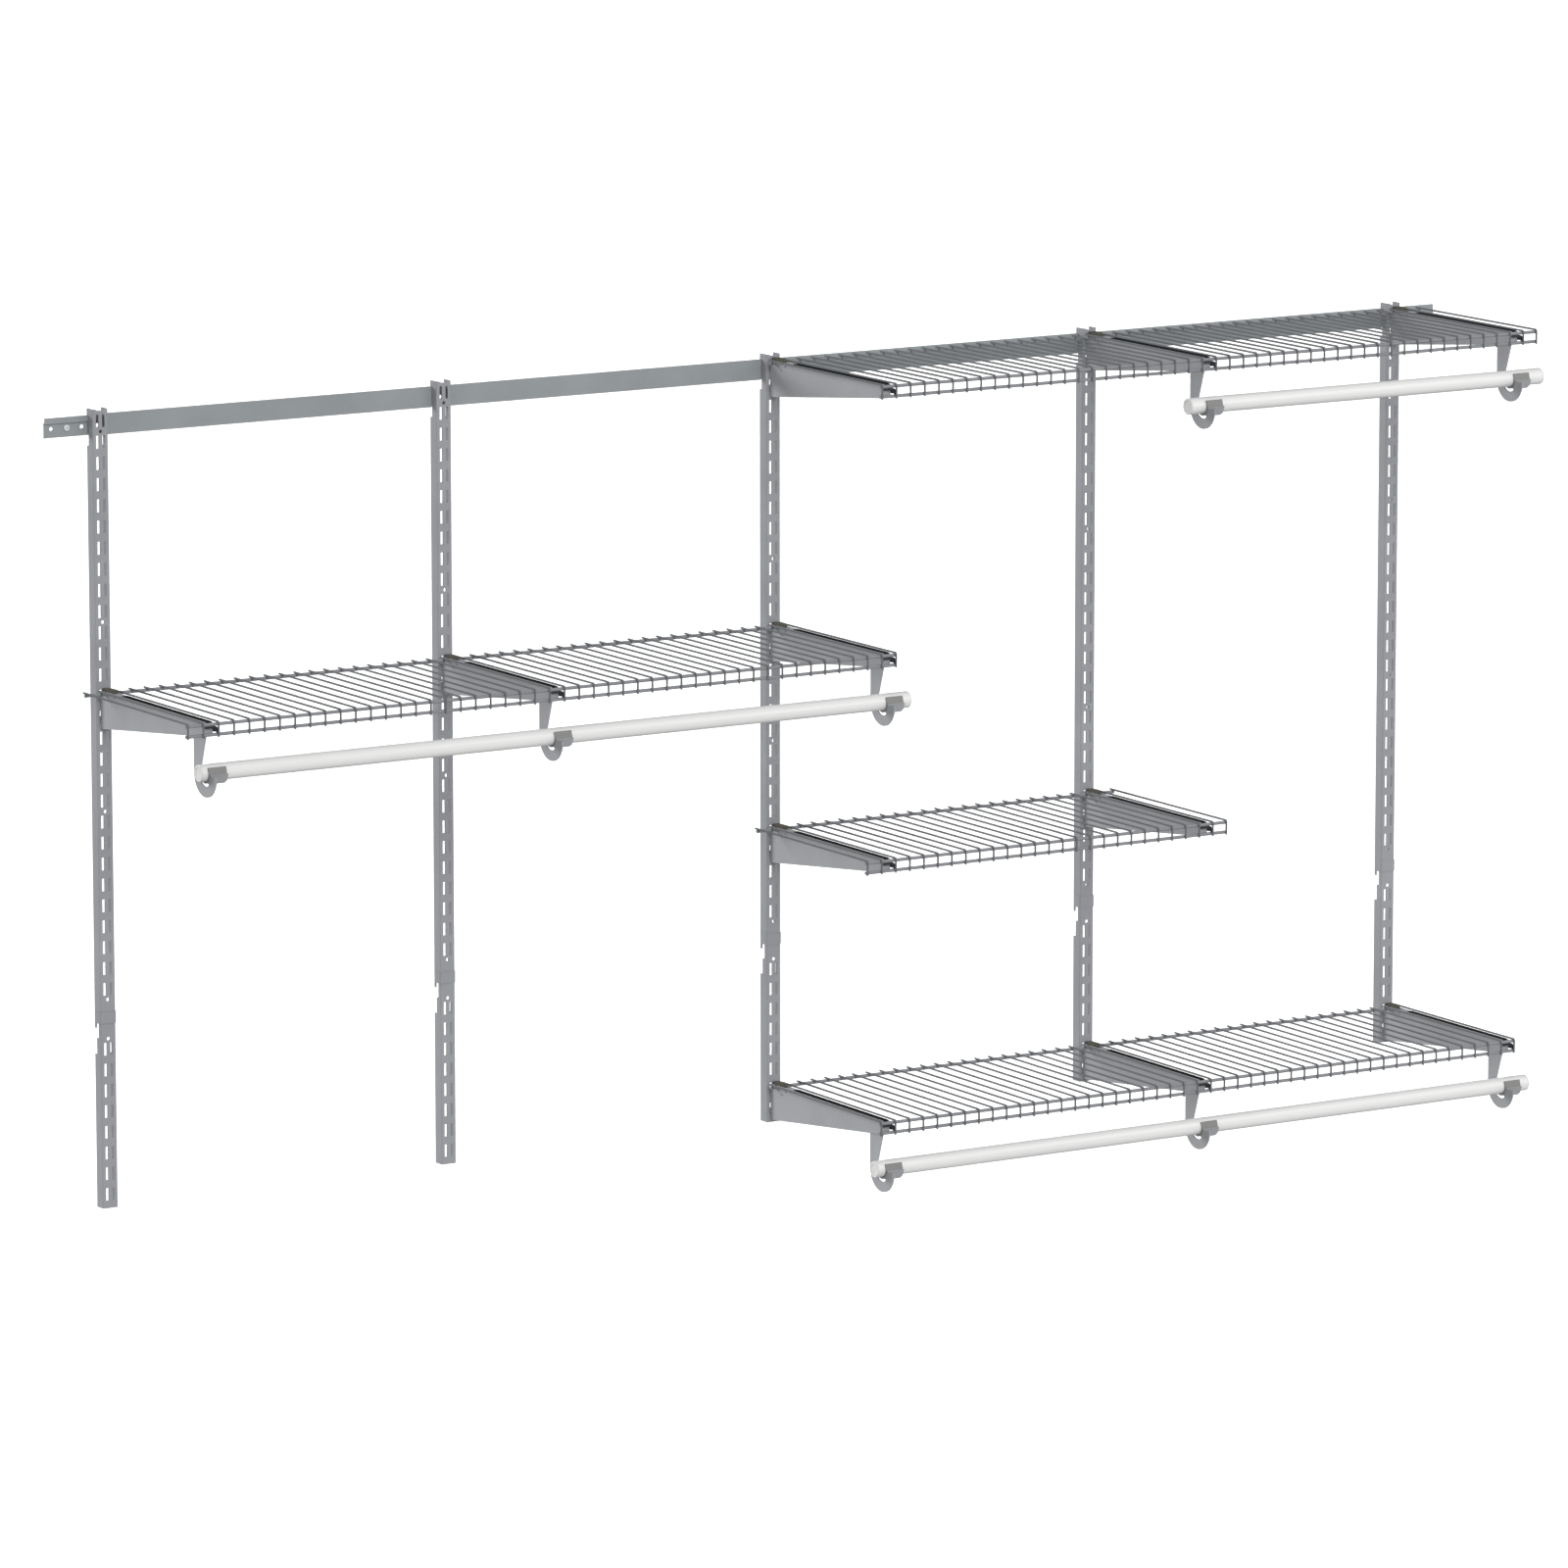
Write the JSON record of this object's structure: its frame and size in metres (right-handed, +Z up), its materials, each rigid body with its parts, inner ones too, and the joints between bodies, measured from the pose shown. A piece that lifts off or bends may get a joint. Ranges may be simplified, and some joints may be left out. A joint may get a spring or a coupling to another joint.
{
  "type": "wall mounted closet system",
  "caption": "Wall mounted closet system: hang rail, slotted uprights with extensions, ventilated wire decks on brackets, and hanging rods in hooks.",
  "frame": {"origin": "middle rail screw, on the wall plane behind the hang rail", "axes": "+Z up, +X along the rail to the right as seen from the room, +Y into the wall; the room is at -Y"},
  "size_m": [2.509, 0.4137, 1.26],
  "materials": {
    "rail_grey": "satin",
    "upright_grey": "satin",
    "bracket_grey": "satin",
    "deck_grey": "satin",
    "screw_steel": "satin",
    "insert_black": "matte",
    "saddle_plastic": "satin",
    "clip_olive": "satin",
    "clip_dark": "satin",
    "rod_white": "satin",
    "cap_grey": "satin"
  },
  "bodies": {
    "wall_frame": {"hang_rail": "rail_grey", "rail_covers": "rail_grey", "rail_screws": "screw_steel", "upright_1": "upright_grey", "upright_2": "upright_grey", "upright_3": "upright_grey", "upright_4": "upright_grey", "upright_5": "upright_grey", "upright_extension_1": "upright_grey", "upright_extension_2": "upright_grey", "upright_extension_3": "upright_grey", "upright_extension_4": "upright_grey", "upright_extension_5": "upright_grey"},
    "shelf_top": {"bracket_top_1": "bracket_grey", "bracket_top_2": "bracket_grey", "bracket_top_3": "bracket_grey", "bracket_inserts_top": "insert_black", "rod_hook_top_1": "bracket_grey", "rod_hook_top_2": "bracket_grey", "rod_saddles_top": "saddle_plastic"},
    "deck_top": {"deck_top": "deck_grey", "deck_rear_clips_top": "clip_olive", "deck_front_clips_top": "clip_dark"},
    "shelf_left": {"bracket_left_1": "bracket_grey", "bracket_left_2": "bracket_grey", "bracket_left_3": "bracket_grey", "bracket_inserts_left": "insert_black", "rod_hook_left_1": "bracket_grey", "rod_hook_left_2": "bracket_grey", "rod_hook_left_3": "bracket_grey", "rod_saddles_left": "saddle_plastic"},
    "deck_left": {"deck_left": "deck_grey", "deck_rear_clips_left": "clip_olive", "deck_front_clips_left": "clip_dark"},
    "shelf_middle": {"bracket_middle_1": "bracket_grey", "bracket_middle_2": "bracket_grey", "bracket_inserts_middle": "insert_black"},
    "deck_middle": {"deck_middle": "deck_grey", "deck_rear_clips_middle": "clip_olive", "deck_front_clips_middle": "clip_dark"},
    "shelf_bottom": {"bracket_bottom_1": "bracket_grey", "bracket_bottom_2": "bracket_grey", "bracket_bottom_3": "bracket_grey", "bracket_inserts_bottom": "insert_black", "rod_hook_bottom_1": "bracket_grey", "rod_hook_bottom_2": "bracket_grey", "rod_hook_bottom_3": "bracket_grey", "rod_saddles_bottom": "saddle_plastic"},
    "deck_bottom": {"deck_bottom": "deck_grey", "deck_rear_clips_bottom": "clip_olive", "deck_front_clips_bottom": "clip_dark"},
    "hanging_rod_left": {"hanging_rod_left": "rod_white", "rod_end_caps_left": "cap_grey"},
    "hanging_rod_top": {"hanging_rod_top": "rod_white", "rod_end_caps_top": "cap_grey"},
    "hanging_rod_bottom": {"hanging_rod_bottom": "rod_white", "rod_end_caps_bottom": "cap_grey"}
  },
  "joints": [
    {"name": "shelf_top_lift", "type": "slide", "parent": "wall_frame", "child": "shelf_top", "axis": [0, 0, 1], "range_m": [0, 0.008]},
    {"name": "deck_top_lift", "type": "slide", "parent": "shelf_top", "child": "deck_top", "axis": [0, -0.2588, 0.9659], "range_m": [0, 0.05]},
    {"name": "shelf_left_lift", "type": "slide", "parent": "wall_frame", "child": "shelf_left", "axis": [0, 0, 1], "range_m": [0, 0.008]},
    {"name": "deck_left_lift", "type": "slide", "parent": "shelf_left", "child": "deck_left", "axis": [0, -0.2588, 0.9659], "range_m": [0, 0.05]},
    {"name": "shelf_middle_lift", "type": "slide", "parent": "wall_frame", "child": "shelf_middle", "axis": [0, 0, 1], "range_m": [0, 0.008]},
    {"name": "deck_middle_lift", "type": "slide", "parent": "shelf_middle", "child": "deck_middle", "axis": [0, -0.2588, 0.9659], "range_m": [0, 0.05]},
    {"name": "shelf_bottom_lift", "type": "slide", "parent": "wall_frame", "child": "shelf_bottom", "axis": [0, 0, 1], "range_m": [0, 0.008]},
    {"name": "deck_bottom_lift", "type": "slide", "parent": "shelf_bottom", "child": "deck_bottom", "axis": [0, -0.2588, 0.9659], "range_m": [0, 0.05]},
    {"name": "hanging_rod_left_slide", "type": "slide", "parent": "shelf_left", "child": "hanging_rod_left", "axis": [1, 0, 0], "range_m": [-0.015, 0.009]},
    {"name": "hanging_rod_top_slide", "type": "slide", "parent": "shelf_top", "child": "hanging_rod_top", "axis": [1, 0, 0], "range_m": [-0.028, 0.025]},
    {"name": "hanging_rod_bottom_slide", "type": "slide", "parent": "shelf_bottom", "child": "hanging_rod_bottom", "axis": [1, 0, 0], "range_m": [-0.018, 0.012]}
  ]
}
